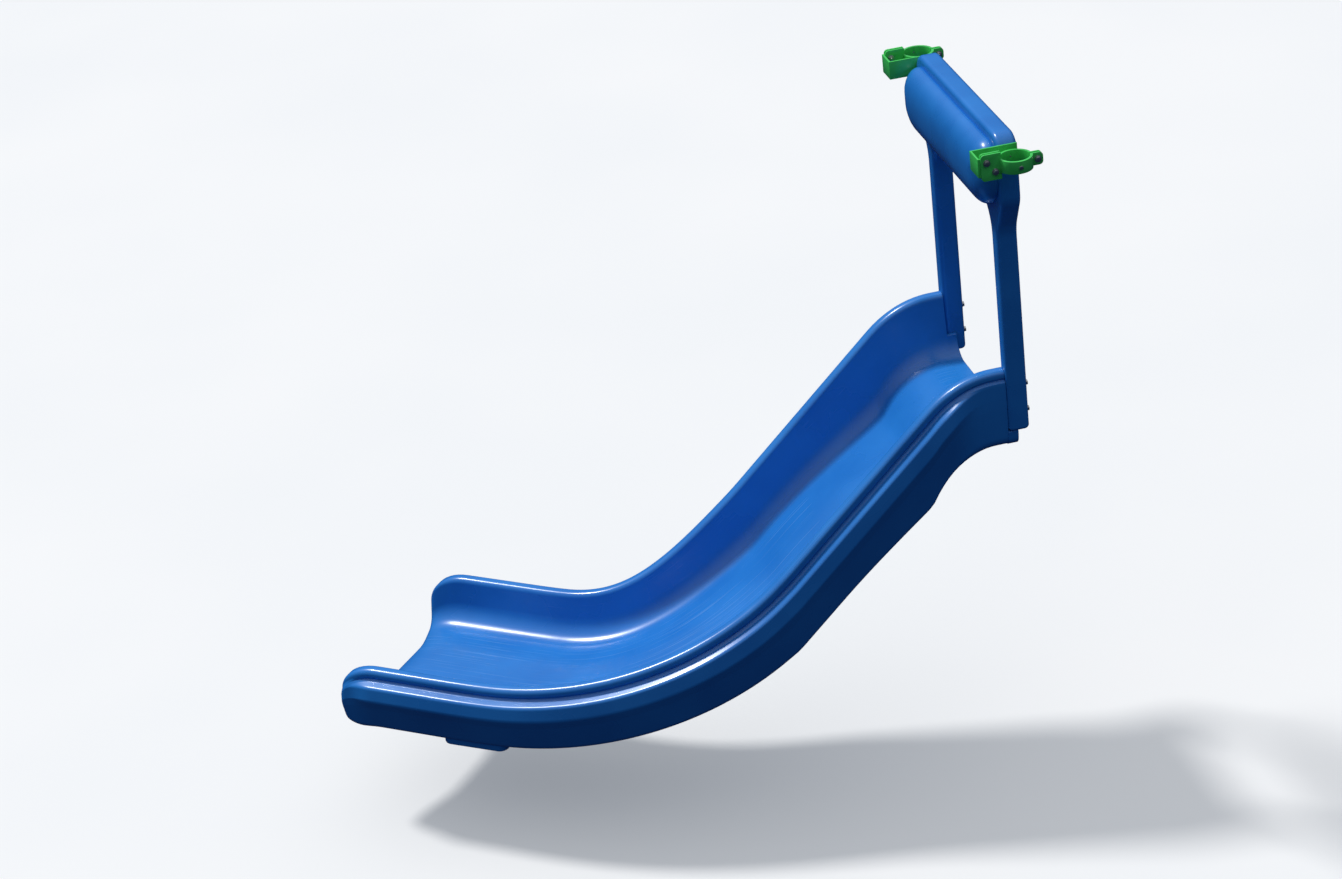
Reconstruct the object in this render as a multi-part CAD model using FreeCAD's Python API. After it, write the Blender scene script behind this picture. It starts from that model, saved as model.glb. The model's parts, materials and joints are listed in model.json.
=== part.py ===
import FreeCAD, Part
import math
import os

# Curved wave slide with an entry hood, for a 1219 mm (48 in) play deck.
#
# The rider leaves the deck through the hood, drops down a steep fall and is turned
# to the right on a level run-out.  Millimetres.  Origin: middle of the face that
# bolts to the deck edge.  +X runs away from the deck, +Y is the rider's left and
# +Z is up.  Chute and hood are hollow rotational mouldings of polyethylene.

# ---------------------------------------------------------------- driving sizes
POST_SPACING = 965.0        # centre to centre of the two posts beside the entry
POST_RADIUS = 44.45         # 3.5 in tube
DECK_LEVEL = 25.0           # deck surface above the middle of the mounting face

SKIN = 6.0                  # wall of both mouldings
RUN_LENGTH = 1990.0         # chute in plan along its middle line, without the nose
NOSE_LENGTH = 136.0         # rounded end past the level rails
TURN_ANGLE = 39.3           # degrees to the rider's right
TURN_START = 828.0          # plan distances between which the chute turns
TURN_END = 1769.0
FALL_ANGLE = 43.0           # steepest pitch of the rails, degrees
FALL_STATIONS = (68.0, 289.0, 761.0, 1595.0)   # level until, steepest between, level again

# Depths below the rail crest, square to the run.
CREST_AT_ENTRY = 212.0      # rail crest above the deck
BED_DEPTH_ENTRY = 212.0
BED_DEPTH_EXIT = 150.0
BODY_DEPTH_ENTRY = 264.0
BODY_DEPTH_EXIT = 230.0

RAIL_HALF_SPAN = 312.0      # middle of the chute to the middle of a rail
RAIL_WIDTH = 44.0
BED_HALF_WIDTH = 264.0
BED_CORNER = 75.0           # radius between bed and wall
SIDE_HALF_WIDTH = 340.0     # flat side panel at the entry
RIB_BULGE = 37.0            # how far the side rib stands out past the panel
RIB_TAPER = (120.0, 400.0)  # plan distances over which the rib grows

NOSE_CREST_DROP = 100.0     # rails down to the exit's end face
NOSE_BED_DROP = 32.0
NOSE_BASE_RISE = 30.0
NOSE_NARROWING = 0.04

FOOT_STATION = 1665.0       # middle of the thickened band for a ground support
FOOT_LENGTH = 230.0
FOOT_HALF_WIDTH = 318.0
FOOT_DROP = 18.0            # band below the underside
FOOT_BOLT_SIDE = 285.0      # from the middle line to either support bolt

HOOD_REAR = -36.0
HOOD_FRONT = 32.0
BROW_FRONT = 99.0
BROW_STEP = 2.0             # between the three outlines of the header
HOOD_HALF_WIDTH = 408.0     # header
LEG_HALF_WIDTH = 348.0      # outer face of a leg
DOOR_HALF_WIDTH = 290.0
FLARE = (690.0, 800.0)      # heights between which the legs widen into the header
HOOD_TOP = 1018.0           # heights above the deck
BROW_TOP = 990.0
DOOR_TOP = 772.0
LEG_FOOT = 2.0

CLAMP_HEIGHT = 965.0        # middle of the post clamps above the deck
CLAMP_WALL = 8.0
CLAMP_RING = 40.0           # height of the clamp's ring
EAR_THICK = 6.0
EAR_GAP = 6.0               # between two ears; the hood bracket's tab fills the front one
EAR_REACH = 110.0           # front ears, from the post's middle
EAR_HEIGHT = 84.0
EAR_BOLTS = ((92.0, 16.0), (66.0, -16.0))      # along X, and up from the clamp's middle
REAR_EAR_REACH = 84.0
REAR_BOLT = (-67.0, 0.0)
LOCK_SCREW_R = 3.0
BRACKET_HEIGHT = 60.0
BRACKET_THICK = 6.0
BRACKET_FRONT = 118.0
BRACKET_REAR = -30.0
BRACKET_BOLTS = (-13.0, 15.0)                  # along X on the hood's side

BOLT_R = 5.0                # M10 hardware
BOLT_FLATS = 16.0
HEAD_T = 6.5
NUT_T = 8.0
THREAD_SPARE = 3.0          # bolt end past its nut
THREAD_CLEAR = 4.0          # blind thread left under a screw's end
WASHER_R = 11.0
WASHER_T = 2.0
INSERT_R = 8.5
INSERT_LENGTH = 24.0
BOSS_R = 15.0               # solid plastic round each threaded insert
BOSS_LENGTH = 32.0
DECK_BOLTS_Y = (-250.0, -90.0, 90.0, 250.0)
LEG_BOLT_Y = 317.0
LEG_BOLT_HEIGHTS = (60.0, 150.0)               # above the deck
NOTCH_GAP = 1.0             # round the hood legs where they stand in the chute
UPSTAND = 70.0              # bed edge left standing between the legs
FOOT_BOLT_R = 6.0           # M12
FOOT_HEAD_FLATS = 19.0
FOOT_HEAD_T = 9.0
FOOT_WASHER_R = 14.0
FOOT_INSERT_R = 10.0
FOOT_INSERT_LENGTH = 30.0
VENT_R = 6.0                # moulding vents, closed by flush plugs
VENT_HALF_Y = 170.0
PLUG_LENGTH = 10.0

Vec = FreeCAD.Vector
X_AXIS = Vec(1, 0, 0)
Y_AXIS = Vec(0, 1, 0)
Z_AXIS = Vec(0, 0, 1)


# ---------------------------------------------------------------- small helpers
def blend(value, low, high):
    """0 below low, 1 above high, and a smooth step between them."""
    t = min(max((value - low) / (high - low), 0.0), 1.0)
    return t * t * (3.0 - 2.0 * t)


def ramp(value, low, high):
    """0 below low, 1 above high, straight between them."""
    return min(max((value - low) / (high - low), 0.0), 1.0)


def rod(radius, length, start, axis):
    """A round bar from a point along an axis."""
    return Part.makeCylinder(radius, length, start, axis)


def tube(outer, inner, length, start, axis):
    """A round bar with a bore right through it."""
    return rod(outer, length, start, axis).cut(rod(inner, length, start, axis))


def hexagon(flats, height, start, axis):
    """A hexagonal bar, flats apart, from a point along an axis."""
    radius = flats / math.sqrt(3.0)
    turn = FreeCAD.Rotation(Z_AXIS, axis)
    corners = []
    for i in range(7):
        angle = math.radians(60.0 * i)
        corners.append(start + turn.multVec(Vec(radius * math.cos(angle), radius * math.sin(angle), 0)))
    return Part.Face(Part.makePolygon(corners)).extrude(axis * height)


def box(x_range, y_range, z_range):
    """A block between two values on each axis."""
    size = [pair[1] - pair[0] for pair in (x_range, y_range, z_range)]
    return Part.makeBox(size[0], size[1], size[2], Vec(x_range[0], y_range[0], z_range[0]))


def rounded_outline(corners, inset, place):
    """Closed wire round (u, v, radius) corners, each side moved inwards by inset.

    Corners run anticlockwise.  An outside corner loses the inset from its radius
    and an inside corner gains it, so both outlines keep the same edges.
    """
    count = len(corners)
    sides = []
    for i in range(count):
        a, b = corners[i], corners[(i + 1) % count]
        du, dv = b[0] - a[0], b[1] - a[1]
        length = math.hypot(du, dv)
        du, dv = du / length, dv / length
        sides.append((a[0] - dv * inset, a[1] + du * inset, du, dv))
    points = []
    for i in range(count):
        u0, v0, du0, dv0 = sides[i - 1]
        u1, v1, du1, dv1 = sides[i]
        cross = du0 * dv1 - dv0 * du1
        t = ((u1 - u0) * dv1 - (v1 - v0) * du1) / cross
        outside = cross > 0
        radius = max(corners[i][2] + (-inset if outside else inset), 1.0)
        points.append((u0 + du0 * t, v0 + dv0 * t, du0, dv0, du1, dv1, radius))
    edges = []
    arcs = []
    for u, v, du0, dv0, du1, dv1, radius in points:
        half_turn = math.acos(min(max(du0 * du1 + dv0 * dv1, -1.0), 1.0)) / 2.0
        reach = radius * math.tan(half_turn)
        first = (u - du0 * reach, v - dv0 * reach)
        last = (u + du1 * reach, v + dv1 * reach)
        back = (radius / math.cos(half_turn) - radius)
        mid_u, mid_v = du1 - du0, dv1 - dv0
        size = math.hypot(mid_u, mid_v)
        middle = (u + mid_u / size * back, v + mid_v / size * back)
        arcs.append((first, middle, last))
    for i in range(count):
        first, middle, last = [place(*p) for p in arcs[i]]
        edges.append(Part.Arc(first, middle, last).toShape())
        edges.append(Part.LineSegment(last, place(*arcs[(i + 1) % count][0])).toShape())
    return Part.Wire(edges)


# ---------------------------------------------------------------- line of the chute
def heading(station):
    """Plan direction of the chute, radians; a right turn is negative."""
    return -math.radians(TURN_ANGLE) * blend(station, TURN_START, TURN_END)


def pitch(station):
    """Downward slope of the rails, radians."""
    level, full, hold, flat = FALL_STATIONS
    return math.radians(FALL_ANGLE) * (ramp(station, level, full) - ramp(station, hold, flat))


def walk_line():
    """Plan position and crest height every millimetre along the middle line."""
    x, y, crest = 0.0, 0.0, DECK_LEVEL + CREST_AT_ENTRY
    line = [(x, y, crest)]
    for i in range(int(RUN_LENGTH + NOSE_LENGTH) + 1):
        station = i + 0.5
        x += math.cos(heading(station))
        y += math.sin(heading(station))
        crest -= math.tan(pitch(station))
        line.append((x, y, crest))
    return line


LINE = walk_line()


def chute_point(station, side, height):
    """Point at a plan distance, a distance to the rider's left and an absolute height."""
    x, y, _ = LINE[int(round(station))]
    angle = heading(station)
    return Vec(x - side * math.sin(angle), y + side * math.cos(angle), height)


def crest_height(station):
    return LINE[int(round(station))][2]


def steepness(station):
    """Upright length of one unit drawn square to the run."""
    return 1.0 / math.cos(pitch(station))


def bed_depth(station):
    """Crest down to the bed: deep at the seat, shallower along the run-out."""
    depth = BED_DEPTH_ENTRY + (BED_DEPTH_EXIT - BED_DEPTH_ENTRY) * blend(station, 40.0, 700.0)
    return depth * steepness(station)


def body_depth(station):
    """Crest down to the underside."""
    depth = BODY_DEPTH_ENTRY + (BODY_DEPTH_EXIT - BODY_DEPTH_ENTRY) * blend(station, 60.0, 600.0)
    return depth * steepness(station)


# ---------------------------------------------------------------- chute
def chute_corners(station):
    """Anticlockwise corners (side, height, radius) of the chute's section."""
    crest = crest_height(station)
    bed = crest - bed_depth(station)
    base = crest - body_depth(station)
    full_wall, full_side = crest - bed, crest - base
    nose = min(max((station - RUN_LENGTH) / NOSE_LENGTH, 0.0), 1.0)
    roll = 1.0 - math.sqrt(1.0 - nose * nose)
    crest -= NOSE_CREST_DROP * roll
    bed -= NOSE_BED_DROP * roll
    base += NOSE_BASE_RISE * roll
    narrow = 1.0 - NOSE_NARROWING * roll
    wall = (crest - bed) / full_wall
    squash = (crest - base) / full_side
    down = squash * steepness(station)
    rib = RIB_BULGE * blend(station, RIB_TAPER[0], RIB_TAPER[1])
    outer = RAIL_HALF_SPAN + RAIL_WIDTH / 2.0
    inner = RAIL_HALF_SPAN - RAIL_WIDTH / 2.0
    left = [
        (SIDE_HALF_WIDTH - 4.0, base, 30.0 * squash),
        (SIDE_HALF_WIDTH + rib * 0.5, crest - 118.0 * down, 8.0 * squash),
        (SIDE_HALF_WIDTH + rib, crest - 101.0 * down, 10.0 * squash),
        (SIDE_HALF_WIDTH - 1.0 + rib * 0.7, crest - 47.0 * down, 14.0 * squash),
        (SIDE_HALF_WIDTH - 2.0, crest - 39.0 * down, 3.0 * squash),
        (outer - 6.0, crest - 32.0 * down, 3.0 * squash),
        (outer, crest - 24.0 * down, 3.0 * squash),
        (outer, crest, 19.0 * squash),
        (inner, crest, 19.0 * squash),
        (BED_HALF_WIDTH, bed, BED_CORNER * wall),
    ]
    left = [(side * narrow, height, radius) for side, height, radius in left]
    right = [(-side, height, radius) for side, height, radius in reversed(left)]
    return left + right


def chute_loft(stations, inset):
    """Solid through the chute's sections, each drawn inset from the outside."""
    wires = []
    for station in stations:
        def place(side, height, at=station):
            return chute_point(at, side, height)
        wires.append(rounded_outline(chute_corners(station), inset, place))
    return Part.makeLoft(wires, True, False)


def chute_stations():
    run = [0, 50, 110, 180, 260, 350, 480, 620, 760, 900, 1050, 1200, 1350, 1500, 1650, 1800, 1930]
    nose = [RUN_LENGTH + NOSE_LENGTH * t for t in (0.0, 0.4, 0.7, 0.9, 1.0)]
    return [float(s) for s in run] + nose


def sides():
    """(name, sign along Y) of the rider's left and right."""
    return (("left", 1.0), ("right", -1.0))


def mirrored(shape):
    return shape.mirror(Vec(0, 0, 0), Y_AXIS)


def for_side(shape, sign):
    """A piece drawn on the rider's left, moved to the side asked for."""
    return shape if sign > 0 else mirrored(shape)


def deck_bolt_places():
    return [Vec(0, y, 0) for y in DECK_BOLTS_Y]


def leg_bolt_places(x):
    """Both legs' bolt axes where they cross a plane square to X."""
    return [Vec(x, sign * LEG_BOLT_Y, DECK_LEVEL + height) for _, sign in sides() for height in LEG_BOLT_HEIGHTS]


def foot_height():
    return crest_height(FOOT_STATION) - body_depth(FOOT_STATION) - FOOT_DROP


def foot_bolt_places():
    return [chute_point(FOOT_STATION, sign * FOOT_BOLT_SIDE, foot_height()) for _, sign in sides()]


def foot_band():
    """Thickened band with rounded corners across the underside."""
    half_l, half_w = FOOT_LENGTH / 2.0, FOOT_HALF_WIDTH
    corners = [(-half_l, -half_w, 30.0), (half_l, -half_w, 30.0), (half_l, half_w, 30.0), (-half_l, half_w, 30.0)]
    outline = rounded_outline(corners, 0.0, lambda u, v: Vec(u, v, 0))
    band = Part.Face(outline).extrude(Z_AXIS * (FOOT_DROP + 24.0))
    band.rotate(Vec(0, 0, 0), Z_AXIS, math.degrees(heading(FOOT_STATION)))
    band.translate(chute_point(FOOT_STATION, 0.0, foot_height()))
    return band


def leg_notches(grow):
    """Room for the hood's legs beside the entry, each face moved out by grow."""
    front = HOOD_FRONT + NOTCH_GAP + grow
    inner = DOOR_HALF_WIDTH - NOTCH_GAP - grow
    span = RAIL_HALF_SPAN + 200.0
    floor = DECK_LEVEL + LEG_FOOT - NOTCH_GAP - grow
    ceiling = DECK_LEVEL + CREST_AT_ENTRY + 100.0
    notch = box((-50.0, front), (inner, span), (floor, ceiling))
    above = box((-50.0, front), (-span, span), (DECK_LEVEL + UPSTAND - grow, ceiling))
    return notch.fuse(mirrored(notch)).fuse(above)


def make_chute():
    """Hollow chute with solid bosses where threaded inserts are moulded in."""
    stations = chute_stations()
    joint = HOOD_FRONT + NOTCH_GAP
    bosses = [rod(BOSS_R, BOSS_LENGTH, place, X_AXIS) for place in deck_bolt_places()]
    bosses += [rod(BOSS_R, BOSS_LENGTH, place, X_AXIS) for place in leg_bolt_places(joint)]
    bosses += [rod(FOOT_INSERT_R + 8.0, FOOT_INSERT_LENGTH + 20.0, place, Z_AXIS) for place in foot_bolt_places()]
    cavity = chute_loft([SKIN] + stations[1:-2], SKIN)
    cavity = cavity.cut(leg_notches(SKIN)).cut(Part.makeCompound(bosses))

    holes = [rod(INSERT_R, INSERT_LENGTH, place, X_AXIS) for place in deck_bolt_places() + leg_bolt_places(joint)]
    holes += [rod(FOOT_INSERT_R, FOOT_INSERT_LENGTH, place, Z_AXIS) for place in foot_bolt_places()]
    holes += [rod(VENT_R, PLUG_LENGTH, Vec(0, sign * VENT_HALF_Y, 0), X_AXIS) for _, sign in sides()]
    body = chute_loft(stations, 0.0).fuse(foot_band()).cut(leg_notches(0.0))
    return body.cut(cavity).cut(Part.makeCompound(holes))


# ---------------------------------------------------------------- hood
def arch(inset):
    """Doorway frame: two legs that widen into a header."""
    foot, top, door = DECK_LEVEL + LEG_FOOT, DECK_LEVEL + HOOD_TOP, DECK_LEVEL + DOOR_TOP
    flare_low, flare_high = DECK_LEVEL + FLARE[0], DECK_LEVEL + FLARE[1]
    left = [
        (DOOR_HALF_WIDTH, foot, 8.0), (LEG_HALF_WIDTH, foot, 12.0), (LEG_HALF_WIDTH, flare_low, 120.0),
        (HOOD_HALF_WIDTH, flare_high, 80.0), (HOOD_HALF_WIDTH, top, 60.0),
    ]
    right = [(-y, z, radius) for y, z, radius in reversed(left)]
    corners = left + right + [(-DOOR_HALF_WIDTH, door, 110.0), (DOOR_HALF_WIDTH, door, 110.0)]
    outline = rounded_outline(corners, inset, lambda u, v: Vec(HOOD_REAR + inset, u, v))
    return Part.Face(outline).extrude(X_AXIS * (HOOD_FRONT - HOOD_REAR - 2.0 * inset))


def brow(inset):
    """Padded header on the front of the frame, rounded on every side but its back.

    The outlines overlap each other by a small step, so their rounds cross cleanly.
    """
    half, step = HOOD_HALF_WIDTH - 8.0, BROW_STEP
    low, high = DECK_LEVEL + DOOR_TOP, DECK_LEVEL + BROW_TOP
    front, wide = BROW_FRONT - step, half + step
    back = HOOD_FRONT
    side = [(back, low - step, 2.0), (front, low - step, 44.0), (front, high + step, 56.0), (back, high + step, 2.0)]
    plan = [(back, -wide, 2.0), (BROW_FRONT, -wide, 50.0), (BROW_FRONT, wide, 50.0), (back, wide, 2.0)]
    face = [(-half, low, 90.0), (half, low, 90.0), (half, high, 40.0), (-half, high, 40.0)]
    across = Part.Face(rounded_outline(side, inset, lambda u, v: Vec(u, wide, v)))
    upright = Part.Face(rounded_outline(plan, inset, lambda u, v: Vec(u, v, low - step)))
    forward = Part.Face(rounded_outline(face, inset, lambda u, v: Vec(back, u, v)))
    pillow = across.extrude(Y_AXIS * (-2.0 * wide)).common(upright.extrude(Z_AXIS * (high - low + 2.0 * step)))
    return pillow.common(forward.extrude(X_AXIS * BROW_FRONT))


def bracket_bolt_places(reach):
    """Left-hand points on the axes of the bolts in the hood's side."""
    return [Vec(x, reach, DECK_LEVEL + CLAMP_HEIGHT) for x in BRACKET_BOLTS]


def vent_places():
    """Vents in the bottoms of the hood's legs, behind the chute."""
    y = (DOOR_HALF_WIDTH + LEG_HALF_WIDTH) / 2.0
    return [Vec(-14.0, sign * y, DECK_LEVEL + LEG_FOOT) for _, sign in sides()]


def make_hood():
    """Hollow hood with bosses for the bracket bolts and sleeves through the legs."""
    bosses, holes = [], []
    for place in bracket_bolt_places(HOOD_HALF_WIDTH):
        for _, sign in sides():
            bosses.append(for_side(rod(BOSS_R, BOSS_LENGTH, place, -Y_AXIS), sign))
            holes.append(for_side(rod(INSERT_R, INSERT_LENGTH, place, -Y_AXIS), sign))
    holes += [rod(INSERT_R, HOOD_FRONT - HOOD_REAR, place, X_AXIS) for place in leg_bolt_places(HOOD_REAR)]
    holes += [rod(VENT_R, PLUG_LENGTH, place, Z_AXIS) for place in vent_places()]
    cavity = arch(SKIN).cut(Part.makeCompound(bosses))
    return arch(0.0).cut(cavity).cut(Part.makeCompound(holes))


def make_brow():
    """Hollow moulding welded to the frame along the crease round its back."""
    return brow(0.0).cut(brow(SKIN))


# ---------------------------------------------------------------- post clamps
def clamp_centre(sign):
    return Vec(0, sign * POST_SPACING / 2.0, DECK_LEVEL + CLAMP_HEIGHT)


def ear(reach, height, direction):
    """Flat ear beside the split plane, on the +Y side of it."""
    root = POST_RADIUS + 2.0
    corners = [(root, -height / 2.0, 1.0), (reach, -height / 2.0, 12.0), (reach, height / 2.0, 12.0),
               (root, height / 2.0, 1.0)]
    outline = rounded_outline(corners, 0.0, lambda u, v: Vec(u, EAR_GAP / 2.0, v))
    plate = Part.Face(outline).extrude(Y_AXIS * EAR_THICK)
    if direction < 0:
        plate.rotate(Vec(0, 0, 0), Z_AXIS, 180.0)
        plate = mirrored(plate)
    return plate


def clamp_half(outward):
    """Half ring with a tall front ear, a low rear ear and a lock screw hole.

    Drawn round the Z axis; outward is 1 for the half on the +Y side.
    """
    low = Vec(0, 0, -CLAMP_RING / 2.0)
    ring = tube(POST_RADIUS + CLAMP_WALL, POST_RADIUS, CLAMP_RING, low, Z_AXIS)
    span = POST_RADIUS + CLAMP_WALL + 5.0
    half = ring.common(box((-span, span), (EAR_GAP / 2.0, span), (-CLAMP_RING, CLAMP_RING)))
    half = half.fuse(ear(EAR_REACH, EAR_HEIGHT, 1)).fuse(ear(REAR_EAR_REACH, CLAMP_RING, -1))
    for x, z in EAR_BOLTS + (REAR_BOLT,):
        half = half.cut(rod(BOLT_R + 0.5, 4.0 * EAR_THICK, Vec(x, 0, z), Y_AXIS))
    half = half.cut(rod(LOCK_SCREW_R, span, Vec(0, 0, 0), Y_AXIS))
    return half if outward > 0 else mirrored(half)


def clamp_stack(kind):
    """Bolts, washers or nuts through the ears of a clamp on the rider's left."""
    face = EAR_GAP / 2.0 + EAR_THICK
    pieces = []
    for x, z in EAR_BOLTS + (REAR_BOLT,):
        top = Vec(x, face, z)
        bottom = Vec(x, -face, z)
        if kind == "washers":
            pieces.append(tube(WASHER_R, BOLT_R + 0.3, WASHER_T, top, Y_AXIS))
            pieces.append(tube(WASHER_R, BOLT_R + 0.3, WASHER_T, bottom, -Y_AXIS))
        elif kind == "nuts":
            start = bottom - Y_AXIS * WASHER_T
            nut = hexagon(BOLT_FLATS, NUT_T, start, -Y_AXIS)
            pieces.append(nut.cut(rod(BOLT_R, NUT_T, start, -Y_AXIS)))
        else:
            seat = top + Y_AXIS * WASHER_T
            length = 2.0 * (face + WASHER_T) + NUT_T + THREAD_SPARE
            shank = rod(BOLT_R, length, seat, -Y_AXIS)
            pieces.append(shank.fuse(hexagon(BOLT_FLATS, HEAD_T, seat, Y_AXIS)))
    return pieces


def placed_clamp(pieces, sign):
    """Clamp hardware drawn for the left post, moved to its post."""
    moved = []
    for piece in pieces:
        piece = for_side(piece, sign)
        piece.translate(clamp_centre(sign))
        moved.append(piece)
    return moved


def lock_screws(sign):
    """Two self-drilling screws that keep a clamp from turning on its post."""
    pieces = []
    for outward in (1.0, -1.0):
        axis = Y_AXIS * outward
        shank = rod(LOCK_SCREW_R - 0.1, CLAMP_WALL, axis * POST_RADIUS, axis)
        pieces.append(shank.fuse(rod(6.5, 4.0, axis * (POST_RADIUS + CLAMP_WALL), axis)))
    return placed_clamp(pieces, sign)


def hood_bracket(sign):
    """Bent steel strap from between the front ears to the side of the hood."""
    post = POST_SPACING / 2.0
    half_gap = EAR_GAP / 2.0
    height = (DECK_LEVEL + CLAMP_HEIGHT - BRACKET_HEIGHT / 2.0, DECK_LEVEL + CLAMP_HEIGHT + BRACKET_HEIGHT / 2.0)
    hood_side = (HOOD_HALF_WIDTH, HOOD_HALF_WIDTH + BRACKET_THICK)
    flange = box((BRACKET_REAR, BRACKET_FRONT), hood_side, height)
    web = box((BRACKET_FRONT - BRACKET_THICK, BRACKET_FRONT), (HOOD_HALF_WIDTH, post + half_gap), height)
    tab = box((POST_RADIUS + CLAMP_WALL + 4.0, BRACKET_FRONT), (post - half_gap, post + half_gap), height)
    strap = flange.fuse(web).fuse(tab).removeSplitter()
    middle = DECK_LEVEL + CLAMP_HEIGHT
    for x, z in EAR_BOLTS:
        strap = strap.cut(rod(BOLT_R + 0.5, 3.0 * EAR_GAP, Vec(x, post - EAR_GAP, middle + z), Y_AXIS))
    for place in bracket_bolt_places(HOOD_HALF_WIDTH):
        strap = strap.cut(rod(BOLT_R + 0.5, BRACKET_THICK, place, Y_AXIS))
    return for_side(strap, sign)


# ---------------------------------------------------------------- fasteners
def both_sides(pieces):
    """Pieces drawn on the rider's left, and their mirror images."""
    return pieces + [mirrored(piece) for piece in pieces]


def cap_screw(seat, length, into):
    """Screw driven along a direction, with its hexagonal head on the seat."""
    return rod(BOLT_R, length, seat, into).fuse(hexagon(BOLT_FLATS, HEAD_T, seat, into * -1.0))


def washer(seat, into):
    return tube(WASHER_R, BOLT_R + 0.3, WASHER_T, seat, into * -1.0)


def insert(start, into):
    """Threaded insert moulded into the plastic, open at its mouth."""
    return tube(INSERT_R, BOLT_R, INSERT_LENGTH, start, into)


def leg_bolts():
    """Screws from the deck side, through the hood legs, into the chute."""
    seat = HOOD_REAR - WASHER_T
    length = HOOD_FRONT + NOTCH_GAP - seat + INSERT_LENGTH - THREAD_CLEAR
    return [cap_screw(place, length, X_AXIS) for place in leg_bolt_places(seat)]


def leg_sleeves():
    """Steel sleeves that stop the screws from crushing the hollow legs."""
    length = HOOD_FRONT + NOTCH_GAP - HOOD_REAR
    return [tube(INSERT_R, BOLT_R + 0.3, length, place, X_AXIS) for place in leg_bolt_places(HOOD_REAR)]


def bracket_bolts():
    seat = HOOD_HALF_WIDTH + BRACKET_THICK + WASHER_T
    length = BRACKET_THICK + WASHER_T + INSERT_LENGTH - THREAD_CLEAR
    return [cap_screw(place, length, -Y_AXIS) for place in bracket_bolt_places(seat)]


def foot_bolts():
    bolts = []
    for place in foot_bolt_places():
        seat = place - Z_AXIS * WASHER_T
        shank = rod(FOOT_BOLT_R, WASHER_T + FOOT_INSERT_LENGTH - THREAD_CLEAR, seat, Z_AXIS)
        bolts.append(shank.fuse(hexagon(FOOT_HEAD_FLATS, FOOT_HEAD_T, seat, -Z_AXIS)))
    return bolts


# ---------------------------------------------------------------- writing the parts
def write(name, pieces):
    """One STEP file per node; several pieces stay separate solids."""
    shape = pieces[0] if len(pieces) == 1 else Part.makeCompound(pieces)
    if not shape.isValid():
        raise ValueError(name + " isn't a valid shape")
    shape.exportStep(os.path.join("parts", name + ".step"))
    print("%-26s %3d solids %10.1f cm3" % (name, len(shape.Solids), shape.Volume / 1000.0))


def write_clamps():
    for name, sign in sides():
        for half_name, outward in (("outer", 1.0), ("inner", -1.0)):
            write("%s_clamp_%s_half" % (name, half_name), placed_clamp([clamp_half(outward)], sign))
        for kind in ("bolts", "washers", "nuts"):
            write("%s_clamp_%s" % (name, kind), placed_clamp(clamp_stack(kind), sign))
        write(name + "_clamp_lock_screws", lock_screws(sign))
        write(name + "_hood_bracket", [hood_bracket(sign)])


def write_fasteners():
    write("hood_leg_bolts", leg_bolts())
    write("hood_leg_washers", [washer(place, X_AXIS) for place in leg_bolt_places(HOOD_REAR)])
    write("hood_leg_sleeves", leg_sleeves())
    write("chute_end_inserts", [insert(place, X_AXIS) for place in leg_bolt_places(HOOD_FRONT + NOTCH_GAP)])
    write("bracket_bolts", both_sides(bracket_bolts()))
    bracket_face = bracket_bolt_places(HOOD_HALF_WIDTH + BRACKET_THICK)
    write("bracket_washers", both_sides([washer(place, -Y_AXIS) for place in bracket_face]))
    hood_side = bracket_bolt_places(HOOD_HALF_WIDTH)
    write("hood_side_inserts", both_sides([insert(place, -Y_AXIS) for place in hood_side]))
    write("deck_inserts", [insert(place, X_AXIS) for place in deck_bolt_places()])
    feet = foot_bolt_places()
    write("foot_inserts", [tube(FOOT_INSERT_R, FOOT_BOLT_R, FOOT_INSERT_LENGTH, p, Z_AXIS) for p in feet])
    write("foot_washers", [tube(FOOT_WASHER_R, FOOT_BOLT_R + 0.4, WASHER_T, p, -Z_AXIS) for p in feet])
    write("foot_bolts", foot_bolts())
    plug = VENT_R - 0.1
    vents = [Vec(0, sign * VENT_HALF_Y, 0) for _, sign in sides()]
    write("chute_vent_plugs", [rod(plug, PLUG_LENGTH, place, X_AXIS) for place in vents])
    write("hood_vent_plugs", [rod(plug, PLUG_LENGTH, place, Z_AXIS) for place in vent_places()])


def main():
    os.makedirs("parts", exist_ok=True)
    write("chute", [make_chute()])
    write("hood", [make_hood()])
    write("hood_brow", [make_brow()])
    write_clamps()
    write_fasteners()


main()
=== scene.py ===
"""Wave slide: rotationally moulded chute and entry hood, clamped to two deck posts.

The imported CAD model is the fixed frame.  Each sub-assembly is a class that holds its
sizes and makes its own meshes; each finish is a frozen dataclass that makes a material.
"""
import sys
import json
import logging
import math
from dataclasses import dataclass, field
from enum import Enum
from typing import Callable, Iterable, Sequence

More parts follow.
